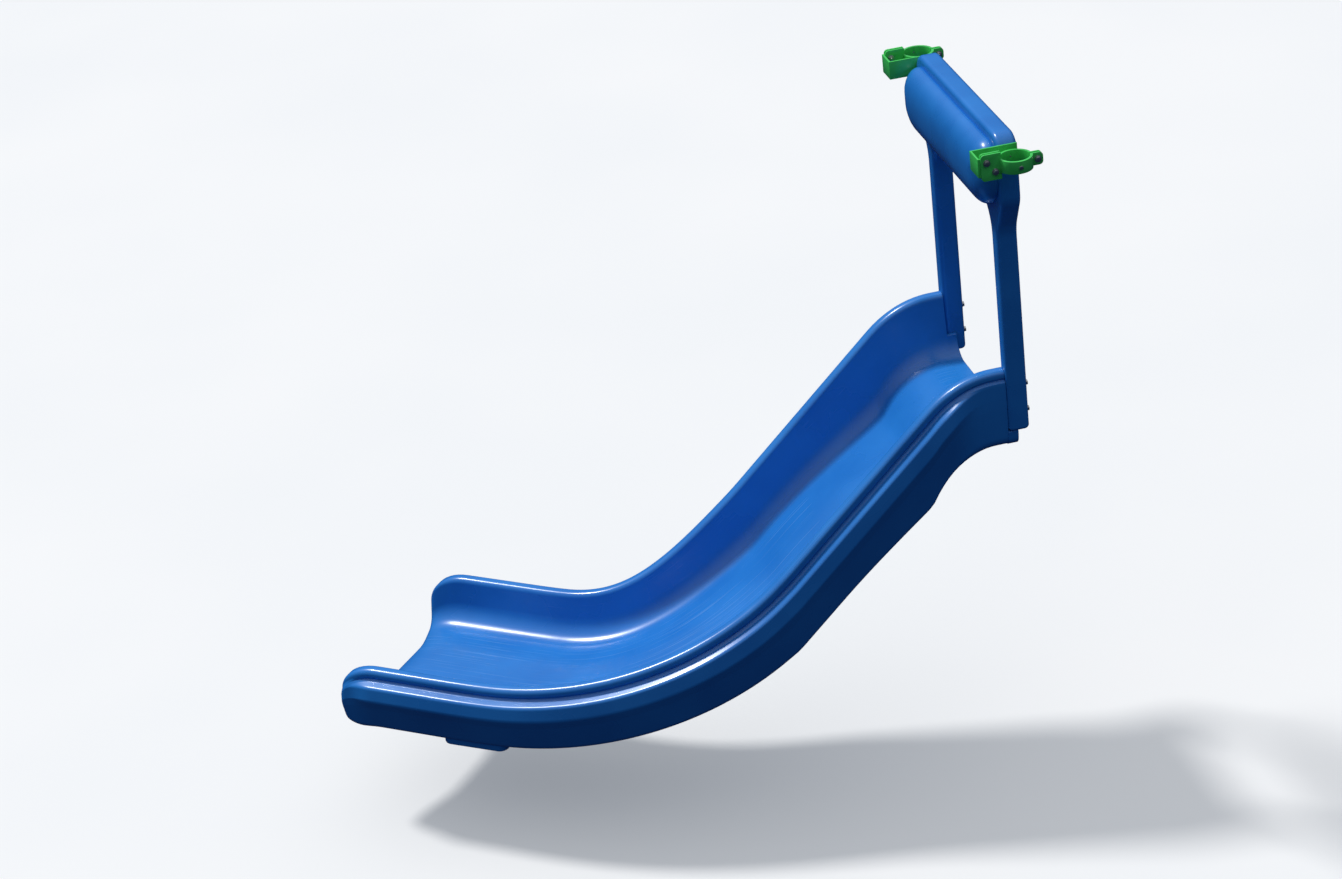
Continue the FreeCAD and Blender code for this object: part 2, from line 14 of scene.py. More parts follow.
import bmesh
import bpy
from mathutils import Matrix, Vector


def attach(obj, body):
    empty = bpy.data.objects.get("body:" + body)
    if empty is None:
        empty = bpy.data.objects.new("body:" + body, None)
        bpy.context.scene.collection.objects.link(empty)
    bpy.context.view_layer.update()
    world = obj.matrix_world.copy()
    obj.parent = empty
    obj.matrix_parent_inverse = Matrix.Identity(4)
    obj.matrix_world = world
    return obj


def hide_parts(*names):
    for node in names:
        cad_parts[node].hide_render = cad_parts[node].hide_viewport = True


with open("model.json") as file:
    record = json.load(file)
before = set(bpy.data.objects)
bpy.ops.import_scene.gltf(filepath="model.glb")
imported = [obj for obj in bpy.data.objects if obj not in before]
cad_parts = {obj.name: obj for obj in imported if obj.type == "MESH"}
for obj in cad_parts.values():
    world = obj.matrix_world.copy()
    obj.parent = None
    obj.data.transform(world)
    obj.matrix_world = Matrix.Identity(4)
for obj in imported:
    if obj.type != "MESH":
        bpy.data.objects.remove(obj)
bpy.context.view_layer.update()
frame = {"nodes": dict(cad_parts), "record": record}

LOG = logging.getLogger("wave_slide")
MM = 0.001
MERGE_MM = 0.02
ROOT = "root"
UV_NAME = "run"
WEAR_NAME = "wear"

Corner = tuple[float, float, float]
Outline = list[tuple[float, float]]
Stages = list[tuple[float, float]]
Tree = bpy.types.NodeTree
Socket = bpy.types.NodeSocket
Layer = bmesh.types.BMLayerItem


class Slot(Enum):
    """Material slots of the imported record."""

    BLUE = "blue_polyethylene"
    GREEN = "green_powder_coat"
    ZINC = "zinc_steel"
    BLACK_STEEL = "black_oxide_steel"
    BRASS = "brass"
    BLACK_PLASTIC = "black_plastic"


# ---------------------------------------------------------------- node helpers
def linear(code: str) -> tuple[float, float, float, float]:
    """Linear colour of an sRGB hex code.

    Args:
        code: Six hex digits, with or without a leading hash.

    Returns:
        Red, green, blue and an alpha of one.
    """
    digits = code.lstrip("#")
    values = [int(digits[i:i + 2], 16) / 255.0 for i in (0, 2, 4)]
    parts = [v / 12.92 if v <= 0.04045 else ((v + 0.055) / 1.055) ** 2.4 for v in values]
    return parts[0], parts[1], parts[2], 1.0


def per_mm(size: float) -> float:
    """Pattern scale, in cycles per metre, of a pattern this many millimetres across."""
    return 1.0 / (size * MM)


def add_node(tree: Tree, kind: str, settings: dict | None = None, **links: object) -> bpy.types.Node:
    """Add a shader node with its settings, socket values and links.

    Args:
        tree: The material's node tree.
        kind: Blender's name of the node type.
        settings: Attributes of the node itself.
        **links: Input sockets by name or number ("i2"), each an output socket to link or a value to set.

    Returns:
        The new node.
    """
    node = tree.nodes.new(kind)
    for name, value in (settings or {}).items():
        setattr(node, name, value)
    for name, value in links.items():
        key: int | str = int(name[1:]) if name[0] == "i" and name[1:].isdigit() else name.replace("_", " ")
        socket = node.inputs[key]
        if isinstance(value, Socket):
            tree.links.new(value, socket)
        else:
            socket.default_value = value
    return node


def new_tree(name: str) -> tuple[bpy.types.Material, Tree]:
    """A material with an empty node tree."""
    material = bpy.data.materials.new(name)
    material.use_nodes = True
    material.node_tree.nodes.clear()
    return material, material.node_tree


def fade(tree: Tree, value: Socket, low: float, high: float,
         to_low: float = 0.0, to_high: float = 1.0) -> Socket:
    """Map a value from one range to another, held at both ends."""
    made = add_node(tree, "ShaderNodeMapRange", {"clamp": True}, Value=value,
                    From_Min=low, From_Max=high, To_Min=to_low, To_Max=to_high)
    return made.outputs["Result"]


def mix_colour(tree: Tree, factor: Socket, low: object, high: object) -> Socket:
    """Blend between two colours by a factor."""
    return add_node(tree, "ShaderNodeMix", {"data_type": "RGBA"}, i0=factor, i6=low, i7=high).outputs[2]


def calculate(tree: Tree, operation: str, first: object, second: object) -> Socket:
    """One arithmetic step between two sockets or values."""
    return add_node(tree, "ShaderNodeMath", {"operation": operation}, i0=first, i1=second).outputs[0]


def finish_tree(tree: Tree, shader: bpy.types.Node) -> None:
    """Link a shader to the material's output."""
    add_node(tree, "ShaderNodeOutputMaterial", Surface=shader.outputs["BSDF"])


# ---------------------------------------------------------------- finishes
@dataclass(frozen=True)
class MouldedPolyethylene:
    """Rotationally moulded linear polyethylene.

    The powder melts against a blasted mould, so the skin is a smooth semi-gloss with a
    shallow orange peel, a slow waviness from uneven cooling and a faint mottle of pigment.
    Riding polishes the bed and leaves pale hairlines along the run.
    """

    name: str
    light: str = "#2580D6"
    body: str = "#2076CC"
    scuff: str = "#7FB0E2"
    peel_mm: float = 9.0            # real peel is 3 mm; drawn coarser so that it shows
    wave_mm: float = 120.0
    mottle_mm: float = 260.0
    speck_mm: float = 3.0
    roughness: float = 0.27
    worn: bool = False

    def make(self) -> bpy.types.Material:
        """The finished material."""
        material, tree = new_tree(self.name)
        place = add_node(tree, "ShaderNodeTexCoord").outputs["Object"]
        mottle = add_node(tree, "ShaderNodeTexNoise", Vector=place, Scale=per_mm(self.mottle_mm), Detail=3.0)
        specks = add_node(tree, "ShaderNodeTexNoise", Vector=place, Scale=per_mm(self.speck_mm), Detail=2.0)
        peel = add_node(tree, "ShaderNodeTexNoise", Vector=place, Scale=per_mm(self.peel_mm), Detail=1.0)
        wave = add_node(tree, "ShaderNodeTexNoise", Vector=place, Scale=per_mm(self.wave_mm), Detail=1.0)
        tone = fade(tree, mottle.outputs["Fac"], 0.35, 0.65)
        colour = mix_colour(tree, tone, linear(self.body), linear(self.light))
        dust = fade(tree, specks.outputs["Fac"], 0.62, 0.74, 0.0, 0.10)
        colour = mix_colour(tree, dust, colour, linear(self.scuff))
        gloss = fade(tree, mottle.outputs["Fac"], 0.3, 0.7, self.roughness - 0.03, self.roughness + 0.05)
        if self.worn:
            colour, gloss = self.add_wear(tree, colour, gloss)
        slow = add_node(tree, "ShaderNodeBump", Height=wave.outputs["Fac"], Strength=0.35, Distance=1.6 * MM)
        bump = add_node(tree, "ShaderNodeBump", Height=peel.outputs["Fac"], Normal=slow.outputs["Normal"],
                        Strength=0.22, Distance=0.22 * MM)
        shader = add_node(tree, "ShaderNodeBsdfPrincipled", Base_Color=colour, Roughness=gloss,
                          Normal=bump.outputs["Normal"], IOR=1.51, Coat_Weight=0.18, Coat_Roughness=0.12)
        finish_tree(tree, shader)
        return material

    def add_wear(self, tree: Tree, colour: Socket,
                 gloss: Socket) -> tuple[Socket, Socket]:
        """Hairlines along the run where riders slide and hold on.

        Args:
            tree: The material's node tree.
            colour: Colour so far.
            gloss: Roughness so far.

        Returns:
            The new colour and roughness.
        """
        run = add_node(tree, "ShaderNodeUVMap", {"uv_map": UV_NAME}).outputs["UV"]
        stretched = add_node(tree, "ShaderNodeMapping", Vector=run, Scale=(per_mm(420.0), per_mm(5.0), 1.0))
        lines = add_node(tree, "ShaderNodeTexNoise", Vector=stretched.outputs["Vector"],
                         Scale=1.0, Detail=4.0)
        worn = add_node(tree, "ShaderNodeAttribute", {"attribute_name": WEAR_NAME}).outputs["Fac"]
        hair = calculate(tree, "MULTIPLY", fade(tree, lines.outputs["Fac"], 0.56, 0.74), worn)
        colour = mix_colour(tree, fade(tree, hair, 0.0, 1.0, 0.0, 0.30), colour, linear(self.scuff))
        gloss = calculate(tree, "ADD", gloss, fade(tree, hair, 0.0, 1.0, 0.0, 0.14))
        polish = calculate(tree, "MULTIPLY", worn, -0.05)
        return colour, calculate(tree, "ADD", gloss, polish)


@dataclass(frozen=True)
class PowderCoat:
    """Polyester powder coat baked on steel: thick, glossy, with a fine orange peel."""

    name: str
    colour: str
    deep: str
    peel_mm: float = 2.5            # real peel is under 1 mm; drawn coarser so that it shows
    roughness: float = 0.26

    def make(self) -> bpy.types.Material:
        """The finished material."""
        material, tree = new_tree(self.name)
        place = add_node(tree, "ShaderNodeTexCoord").outputs["Object"]
        cloud = add_node(tree, "ShaderNodeTexNoise", Vector=place, Scale=per_mm(60.0), Detail=3.0)
        peel = add_node(tree, "ShaderNodeTexNoise", Vector=place, Scale=per_mm(self.peel_mm), Detail=1.0)
        tone = fade(tree, cloud.outputs["Fac"], 0.35, 0.7)
        colour = mix_colour(tree, tone, linear(self.colour), linear(self.deep))
        gloss = fade(tree, cloud.outputs["Fac"], 0.3, 0.7, self.roughness, self.roughness + 0.08)
        bump = add_node(tree, "ShaderNodeBump", Height=peel.outputs["Fac"], Strength=0.3, Distance=0.12 * MM)
        shader = add_node(tree, "ShaderNodeBsdfPrincipled", Base_Color=colour, Roughness=gloss,
                          Normal=bump.outputs["Normal"], IOR=1.52, Coat_Weight=0.4, Coat_Roughness=0.08)
        finish_tree(tree, shader)
        return material


@dataclass(frozen=True)
class BareMetal:
    """Plated or machined metal with turning marks and patches of handling dullness."""

    name: str
    colour: str
    stain: str
    roughness: float
    metallic: float = 1.0
    grain_mm: float = 1.2           # turning marks are finer; drawn coarser so that they show

    def make(self) -> bpy.types.Material:
        """The finished material."""
        material, tree = new_tree(self.name)
        place = add_node(tree, "ShaderNodeTexCoord").outputs["Object"]
        patches = add_node(tree, "ShaderNodeTexNoise", Vector=place, Scale=per_mm(14.0), Detail=4.0)
        grain = add_node(tree, "ShaderNodeTexNoise", Vector=place, Scale=per_mm(self.grain_mm), Detail=2.0)
        tone = fade(tree, patches.outputs["Fac"], 0.4, 0.7)
        colour = mix_colour(tree, tone, linear(self.colour), linear(self.stain))
        gloss = fade(tree, patches.outputs["Fac"], 0.3, 0.7, self.roughness, self.roughness + 0.15)
        bump = add_node(tree, "ShaderNodeBump", Height=grain.outputs["Fac"],
                        Strength=0.25, Distance=0.08 * MM)
        shader = add_node(tree, "ShaderNodeBsdfPrincipled", Base_Color=colour, Roughness=gloss,
                          Normal=bump.outputs["Normal"], Metallic=self.metallic)
        finish_tree(tree, shader)
        return material


@dataclass(frozen=True)
class FloorPaint:
    """Matt pale studio floor with a barely visible tone."""

    name: str = "floor matt paint"

    def make(self) -> bpy.types.Material:
        """The finished material."""
        material, tree = new_tree(self.name)
        place = add_node(tree, "ShaderNodeTexCoord").outputs["Object"]
        cloud = add_node(tree, "ShaderNodeTexNoise", Vector=place, Scale=0.6, Detail=2.0)
        tone = fade(tree, cloud.outputs["Fac"], 0.35, 0.65)
        colour = mix_colour(tree, tone, linear("#C9CACB"), linear("#CDCDCD"))
        shader = add_node(tree, "ShaderNodeBsdfPrincipled", Base_Color=colour, Roughness=0.85,
                          Emission_Color=linear("#E4EBF0"), Emission_Strength=0.32)
        finish_tree(tree, shader)
        return material


@dataclass
class FinishSet:
    """Every material of the slide, made once."""

    made: dict[str, bpy.types.Material] = field(default_factory=dict)

    def __post_init__(self) -> None:
        """Make the materials."""
        finishes = {
            "chute": MouldedPolyethylene("moulded polyethylene chute blue", worn=True),
            "hood": MouldedPolyethylene("moulded polyethylene hood blue", mottle_mm=180.0),
            Slot.GREEN.value: PowderCoat("powder coat spring green", "#4BDC64", "#3CC856"),
            Slot.ZINC.value: BareMetal("zinc plated steel", "#C3C6C8", "#A9AAA4", 0.3),
            Slot.BLACK_STEEL.value: BareMetal("black oxide steel", "#26272A", "#1B1B1D", 0.38, 0.8),
            Slot.BRASS.value: BareMetal("machined brass", "#C8A15A", "#A8823F", 0.28),
            Slot.BLACK_PLASTIC.value: MouldedPolyethylene(
                "moulded black plug", "#1C1D1F", "#151617", "#3A3B3D", 3.0, 20.0, 30.0, 1.5, 0.45),
            Slot.BLUE.value: MouldedPolyethylene("moulded polyethylene blue"),
        }
        self.made = {key: finish.make() for key, finish in finishes.items()}

    def get(self, key: str) -> bpy.types.Material:
        """The material of a slot or piece."""
        return self.made[key]


# ---------------------------------------------------------------- mesh helpers
def blend(value: float, low: float, high: float) -> float:
    """0 below low, 1 above high, and a smooth step between them."""
    t = min(max((value - low) / (high - low), 0.0), 1.0)
    return t * t * (3.0 - 2.0 * t)


def ramp(value: float, low: float, high: float) -> float:
    """0 below low, 1 above high, straight between them."""
    return min(max((value - low) / (high - low), 0.0), 1.0)


def between(first: float, last: float, share: float) -> float:
    """The value this share of the way from the first to the last."""
    return first + (last - first) * share


def quarter_turn(steps: int) -> list[float]:
    """Angles in radians from nought to a right angle."""
    return [math.radians(90.0 * k / steps) for k in range(steps + 1)]


def rounded_outline(corners: Sequence[Corner], inset: float = 0.0, steps: int = 7, guard: float = 2.5,
                    across: dict[int, int] | None = None) -> Outline:
    """Points round an anticlockwise outline with rounded corners.

    Args:
        corners: Each corner's u, v and radius.
        inset: How far every side moves inwards; outside radii lose it, inside radii gain it.
        steps: Divisions of each round.
        guard: Distance of the extra point on the straight beside each round, which keeps flats flat.
        across: Extra points on the straight after a corner, by the corner's number.

    Returns:
        The points.
    """
    count = len(corners)
    lines = []
    for i, (u, v, _) in enumerate(corners):
        du, dv = corners[(i + 1) % count][0] - u, corners[(i + 1) % count][1] - v
        length = math.hypot(du, dv)
        du, dv = du / length, dv / length
        lines.append((u - dv * inset, v + du * inset, du, dv))
    rounds = []
    for i in range(count):
        u0, v0, du0, dv0 = lines[i - 1]
        u1, v1, du1, dv1 = lines[i]
        cross = du0 * dv1 - dv0 * du1
        t = ((u1 - u0) * dv1 - (v1 - v0) * du1) / cross
        at = (u0 + du0 * t, v0 + dv0 * t)
        radius = max(corners[i][2] + (-inset if cross > 0 else inset), 0.5)
        turn = math.atan2(cross, du0 * du1 + dv0 * dv1)
        reach = radius * math.tan(abs(turn) / 2.0)
        rounds.append((at, (du0, dv0), (du1, dv1), radius, turn, reach))
    points: Outline = []
    for i, (at, into, away, radius, turn, reach) in enumerate(rounds):
        before, after = rounds[i - 1], rounds[(i + 1) % count]
        room_in = math.dist(before[0], at) - before[5] - reach
        room_out = math.dist(after[0], at) - after[5] - reach
        side = 1.0 if turn > 0 else -1.0
        start = (at[0] - into[0] * reach, at[1] - into[1] * reach)
        centre = (start[0] - into[1] * radius * side, start[1] + into[0] * radius * side)
        near = min(guard, room_in * 0.4)
        points.append((start[0] - into[0] * near, start[1] - into[1] * near))
        for k in range(steps + 1):
            angle = turn * k / steps
            spoke_u, spoke_v = start[0] - centre[0], start[1] - centre[1]
            points.append((centre[0] + spoke_u * math.cos(angle) - spoke_v * math.sin(angle),
                           centre[1] + spoke_u * math.sin(angle) + spoke_v * math.cos(angle)))
        end = points[-1]
        far = min(guard, room_out * 0.4)
        extra = (across or {}).get(i, 0)
        for k in range(extra + 1):
            reach_on = far + (room_out - 2.0 * far) * k / (extra + 1)
            points.append((end[0] + away[0] * reach_on, end[1] + away[1] * reach_on))
    return points


@dataclass
class Loft:
    """A closed skin drawn by extruding one loop of edges from ring to ring."""

    rings: list[list[Vector]]
    runs: list[float] = field(default_factory=list)
    wear: Callable[[int, int], float] | None = None
    settled: list[list[Vector]] | None = None       # where the points go once the flat ends are closed

    def build(self) -> bmesh.types.BMesh:
        """The skin with both ends closed, its sizes in metres.

        Returns:
            A new bmesh.
        """
        bm = bmesh.new()
        spot = bm.verts.layers.int.new("spot")
        row = bm.verts.layers.int.new("row")
        worn = bm.verts.layers.float.new(WEAR_NAME)
        verts = bmesh.ops.create_circle(bm, segments=len(self.rings[0]), radius=1.0)["verts"]
        for index, vert in enumerate(verts):
            vert[spot] = index
        edges = list(bm.edges)
        self.place(verts, spot, row, worn, 0)
        bmesh.ops.contextual_create(bm, geom=edges)
        for number in range(1, len(self.rings)):
            made = bmesh.ops.extrude_edge_only(bm, edges=edges)["geom"]
            edges = [item for item in made if isinstance(item, bmesh.types.BMEdge)]
            verts = [item for item in made if isinstance(item, bmesh.types.BMVert)]
            self.place(verts, spot, row, worn, number)
        bmesh.ops.contextual_create(bm, geom=edges)
        caps = [face for face in bm.faces if len(face.verts) > 4]
        bmesh.ops.triangulate(bm, faces=caps, ngon_method="BEAUTY")
        if self.settled:
            for vert in bm.verts:
                vert.co = self.settled[vert[row]][vert[spot]] * MM
        self.lay_out(bm, spot, row)
        bmesh.ops.remove_doubles(bm, verts=bm.verts, dist=MERGE_MM * MM)
        bmesh.ops.dissolve_degenerate(bm, edges=bm.edges, dist=MERGE_MM * MM)
        bmesh.ops.recalc_face_normals(bm, faces=bm.faces)
        return bm

    def place(self, verts: Iterable[bmesh.types.BMVert], spot: Layer,
              row: Layer, worn: Layer, number: int) -> None:
        """Move one ring's vertices to their points and note where they are."""
        for vert in verts:
            vert[row] = number
            vert.co = self.rings[number][vert[spot]] * MM
            vert[worn] = self.wear(number, vert[spot]) if self.wear else 0.0

    def lay_out(self, bm: bmesh.types.BMesh, spot: Layer, row: Layer) -> None:
        """Give every face a map of distance along the run and distance round the outline, in metres."""
        if not self.runs:
            return
        middle = self.rings[len(self.rings) // 2]
        round_way = [0.0]
        for a, b in zip(middle, middle[1:] + middle[:1]):
            round_way.append(round_way[-1] + (b - a).length)
        layer = bm.loops.layers.uv.new(UV_NAME)
        last = len(middle) - 1
        for face in bm.faces:
            spots = [vert[spot] for vert in face.verts]
            wraps = 0 in spots and last in spots and len(spots) <= 4
            for loop in face.loops:
                place = loop.vert[spot]
                place = last + 1 if wraps and place == 0 else place
                loop[layer].uv = (self.runs[loop.vert[row]] * MM, round_way[place] * MM)


def make_piece(name: str, bm: bmesh.types.BMesh, material: bpy.types.Material, nodes: Sequence[str],
               smooth_angle: float = 38.0) -> bpy.types.Object:
    """Turn a bmesh into a piece of the slide, standing for CAD nodes.

    Args:
        name: The piece's name.
        bm: Its shape in metres, in the frame's coordinates; freed here.
        material: Its finish.
        nodes: The CAD nodes it stands for.
        smooth_angle: Edges sharper than this, in degrees, stay crisp.

    Returns:
        The new object at the origin.
    """
    mesh = bpy.data.meshes.new(name)
    bm.to_mesh(mesh)
    bm.free()
    for polygon in mesh.polygons:
        polygon.use_smooth = True
    mesh.set_sharp_from_angle(angle=math.radians(smooth_angle))
    mesh.materials.append(material)
    piece = bpy.data.objects.new(name, mesh)
    bpy.context.scene.collection.objects.link(piece)
    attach(piece, ROOT)
    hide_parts(*nodes)
    LOG.info("piece %-28s %6d faces, stands for %s", name, len(mesh.polygons), ", ".join(nodes))
    return piece


def softened_copy(node: str, width: float, segments: int = 2, crease: float = 28.0) -> bmesh.types.BMesh:
    """A merged copy of a CAD node with its sharp edges rounded.

    Args:
        node: The CAD node to copy.
        width: Width of the rounding in millimetres.
        segments: Divisions of the rounding.
        crease: Edges sharper than this many degrees are rounded.

    Returns:
        A new bmesh in metres.
    """
    bm = bmesh.new()
    bm.from_mesh(frame["nodes"][node].data)
    bmesh.ops.remove_doubles(bm, verts=bm.verts, dist=0.01 * MM)
    bmesh.ops.dissolve_limit(bm, angle_limit=math.radians(1.0), verts=bm.verts, edges=bm.edges, delimit=set())
    sharp = [edge for edge in bm.edges if len(edge.link_faces) == 2
             and edge.calc_face_angle(0.0) > math.radians(crease)]
    bmesh.ops.bevel(bm, geom=sharp, offset=width * MM, segments=segments, profile=0.5,
                    affect="EDGES", material=-1, clamp_overlap=True)
    bmesh.ops.dissolve_degenerate(bm, edges=bm.edges, dist=0.005 * MM)
    return bm


# ---------------------------------------------------------------- chute
@dataclass
class Chute:
    """Open channel with rolled rails, a side rib and a rounded exit.  Sizes in millimetres."""

    deck_level: float = 25.0
    run_length: float = 1990.0
    nose_length: float = 136.0
    turn_angle: float = 39.3
    turn: tuple[float, float] = (828.0, 1769.0)             # stations where it starts and ends
    fall_angle: float = 43.0
    fall: tuple[float, float, float, float] = (68.0, 289.0, 761.0, 1595.0)  # starts, full, eases, level
    crest_at_entry: float = 212.0
    bed_depths: tuple[float, float] = (212.0, 150.0)
    body_depths: tuple[float, float] = (264.0, 230.0)
    rail_half_span: float = 312.0
    rail_width: float = 44.0
    bed_half_width: float = 264.0
    bed_corner: float = 75.0
    side_half_width: float = 340.0
    bed_change: tuple[float, float] = (40.0, 700.0)
    body_change: tuple[float, float] = (60.0, 600.0)
    rail_round: float = 19.0
    base_round: float = 34.0
    rib_bulge: float = 37.0
    rib_taper: tuple[float, float] = (110.0, 240.0)
    rib_end: tuple[float, float] = (5.0, 106.0)
    nose_crest_drop: float = 100.0
    nose_bed_drop: float = 32.0
    nose_base_rise: float = 30.0
    nose_base_round: float = 22.0
    base_rise_start: float = 0.45
    nose_narrowing: float = 0.04
    lip_setback: float = 42.0
    lip_start: float = 60.0                 # before the end of the run
    lip_hollow: tuple[float, float] = (90.0, 300.0)
    end_round: float = 15.0
    end_inset: float = 6.5
    leg_front: float = 33.0
    notch_half_width: float = 289.0
    upstand: float = 70.0
    foot_station: float = 1665.0
    foot_size: tuple[float, float, float] = (230.0, 636.0, 18.0)
    foot_round: float = 30.0
    ring_pitch: float = 18.0
    flat_points: int = 14
    seat_wear: tuple[float, float] = (140.0, 240.0)
    grip_wear: tuple[float, float] = (6.0, 30.0)
    line: list[tuple[float, float, float]] = field(default_factory=list)

    def __post_init__(self) -> None:
        """Walk the middle line, one millimetre at a time."""
        x, y, crest = 0.0, 0.0, self.deck_level + self.crest_at_entry
        self.line = [(x, y, crest)]
        for i in range(int(self.run_length + self.nose_length) + 2):
            x += math.cos(self.heading(i + 0.5))
            y += math.sin(self.heading(i + 0.5))
            crest -= math.tan(self.pitch(i + 0.5))
            self.line.append((x, y, crest))

    def heading(self, station: float) -> float:
        """Plan direction in radians; a right turn is negative."""
        return -math.radians(self.turn_angle) * blend(station, *self.turn)

    def pitch(self, station: float) -> float:
        """Downward slope of the rails in radians."""
        level, full, hold, flat = self.fall
        return math.radians(self.fall_angle) * (ramp(station, level, full) - ramp(station, hold, flat))

    def on_line(self, station: float) -> tuple[float, float, float]:
        """Plan position and crest height at a station."""
        low = int(station)
        part = station - low
        a, b = self.line[low], self.line[low + 1]
        return a[0] + (b[0] - a[0]) * part, a[1] + (b[1] - a[1]) * part, a[2] + (b[2] - a[2]) * part

    def point(self, station: float, side: float, height: float) -> Vector:
        """A point at a station, a distance to the rider's left and a height."""
        x, y, _ = self.on_line(station)
        angle = self.heading(station)
        return Vector((x - side * math.sin(angle), y + side * math.cos(angle), height))

    def corners(self, station: float) -> list[Corner]:
        """Anticlockwise corners of the section at a station."""
        steep = 1.0 / math.cos(self.pitch(station))
        crest = self.on_line(station)[2]
        bed = crest - between(*self.bed_depths, blend(station, *self.bed_change)) * steep
        base = crest - between(*self.body_depths, blend(station, *self.body_change)) * steep
        nose = ramp(station, self.run_length, self.run_length + self.nose_length)
        roll = 1.0 - math.sqrt(max(1.0 - nose * nose, 0.0))
        late = ramp(nose, self.base_rise_start, 1.0)
        lift = 1.0 - math.sqrt(max(1.0 - late * late, 0.0))
        full_wall, full_side = crest - bed, crest - base
        crest -= self.nose_crest_drop * roll
        bed -= self.nose_bed_drop * roll
        base += self.nose_base_rise * lift
        wall, squash = (crest - bed) / full_wall, (crest - base) / full_side
        down = squash * steep
        narrow = 1.0 - self.nose_narrowing * roll
        rib = self.rib_bulge * blend(station, *self.rib_taper)
        outer = self.rail_half_span + self.rail_width / 2.0
        inner = self.rail_half_span - self.rail_width / 2.0
        panel = self.side_half_width
        calm = blend(station, self.run_length + self.rib_end[0], self.run_length + self.rib_end[1])
        # side with the rib and groove, side once they have faded out, depth below the crest, radius
        profile = [
            (panel + rib * 0.62, outer + 18.0, 124.0, 26.0),
            (panel + rib, outer + 20.0, 92.0, 20.0),
            (panel - 1.0 + rib * 0.7, outer + 16.0, 47.0, 14.0),
            (panel - 2.0, outer + 13.0, 39.0, 3.0),
            (outer - 6.0, outer + 9.0, 32.0, 3.0),
            (outer, outer + 5.0, 24.0, 3.0),
        ]
        base_side = between(panel - 4.0 - rib * 0.35, outer + 4.0, calm)
        left = [(base_side, base, (self.base_round + self.nose_base_round * lift) * squash)]
        left += [(between(ribbed, plain, calm), crest - depth * down, radius * squash)
                 for ribbed, plain, depth, radius in profile]
        left += [(outer, crest, self.rail_round * squash), (inner, crest, self.rail_round * squash),
                 (self.bed_half_width, bed, self.bed_corner * wall)]
        left = [(side * narrow, height, radius) for side, height, radius in left]
        return left + [(-side, height, radius) for side, height, radius in reversed(left)]

    def section(self, station: float, inset: float) -> Outline:
        """Side and height of the section's points, closer together across the bed and the base."""
        corners = self.corners(station)
        flats = (len(corners) // 2 - 1, len(corners) - 1)
        return rounded_outline(corners, inset, across=dict.fromkeys(flats, self.flat_points))

    def ring(self, station: float, inset: float, setback: float) -> list[Vector]:
        """The section's points in space.

        Args:
            station: Plan distance along the run.
            inset: How far the outline is drawn in.
            setback: How far the middle of the exit's lip stands behind the ends of the rails.

        Returns:
            The points of one ring.
        """
        nose = blend(station, self.run_length - self.lip_start, self.run_length + self.nose_length)
        points = []
        for side, height in self.section(station, inset):
            hollow = 1.0 - blend(abs(side), *self.lip_hollow)
            points.append(self.point(station - setback * nose * hollow, side, height))
        return points

    def stations(self) -> Stages:
        """Stations and insets of the rings, closer together round the exit."""
        count = round((self.run_length - self.leg_front) / self.ring_pitch)
        step = (self.run_length - self.leg_front) / count
        rings = [(self.leg_front + 2.0 * k, 0.0) for k in (0, 1)]
        rings += [(self.leg_front + step * k, 0.0) for k in range(1, count + 1)]
        tip = self.run_length + self.nose_length
        straight = self.nose_length - self.end_round
        for angle in quarter_turn(10)[1:]:
            rings.append((self.run_length + straight * math.sin(angle), 0.0))
        for angle in quarter_turn(7)[1:]:
            back = self.end_round * (1.0 - math.sin(angle))
            rings.append((tip - back, self.end_inset * (1.0 - math.cos(angle))))
        return rings

    def build(self, finishes: FinishSet) -> None:
        """Make the channel, its entry sill and the thickened band under the exit."""
        places = self.stations()
        flat = [self.ring(station, inset, 0.0) for station, inset in places]
        hollowed = [self.ring(station, inset, self.lip_setback) for station, inset in places]
        sections = [self.section(station, inset) for station, inset in places]
        crests = [self.on_line(station)[2] for station, _ in places]

        def wear(number: int, spot: int) -> float:
            side, height = sections[number][spot]
            drop = crests[number] - height
            if abs(side) < self.bed_half_width - 20.0 and drop < self.bed_depths[0]:
                return 1.0 - 0.6 * blend(abs(side), *self.seat_wear)
            return 0.4 * (1.0 - blend(drop, *self.grip_wear)) if drop < 40.0 else 0.0

        skin = Loft(flat, [station for station, _ in places], wear, hollowed).build()
        make_piece("chute_channel", skin, finishes.get("chute"), ["chute"])
        self.build_sill(finishes)
        self.build_foot_band(finishes)

    def build_sill(self, finishes: FinishSet) -> None:
        """Entry end that bolts to the deck, cut down to make room for the hood's legs."""
        deck, base = self.deck_level, self.deck_level + self.crest_at_entry - self.body_depths[0]
        crest = deck + self.crest_at_entry
        notch, upstand = self.notch_half_width, deck + self.upstand
        slope = (self.rail_half_span - self.rail_width / 2.0 - self.bed_half_width) / (crest - deck)
        wall = self.bed_half_width + slope * (upstand - deck)
        left = [
            (self.side_half_width - 4.0, base, 30.0), (self.side_half_width, deck + 1.0, 2.0),
            (notch, deck + 1.0, 2.0), (notch, upstand, 3.0), (wall, upstand, 3.0),
            (self.bed_half_width, deck, 68.0),
        ]
        corners = left + [(-y, z, radius) for y, z, radius in reversed(left)]
        stages = [(0.0, 2.0), (0.6, 0.8), (2.0, 0.0), (4.0, 0.0), (self.leg_front, 0.0)]
        rings = [[Vector((x, y, z)) for y, z in rounded_outline(corners, inset)] for x, inset in stages]
        skin = Loft(rings, [x for x, _ in stages]).build()
        make_piece("chute_entry_sill", skin, finishes.get("chute"), ["chute"])

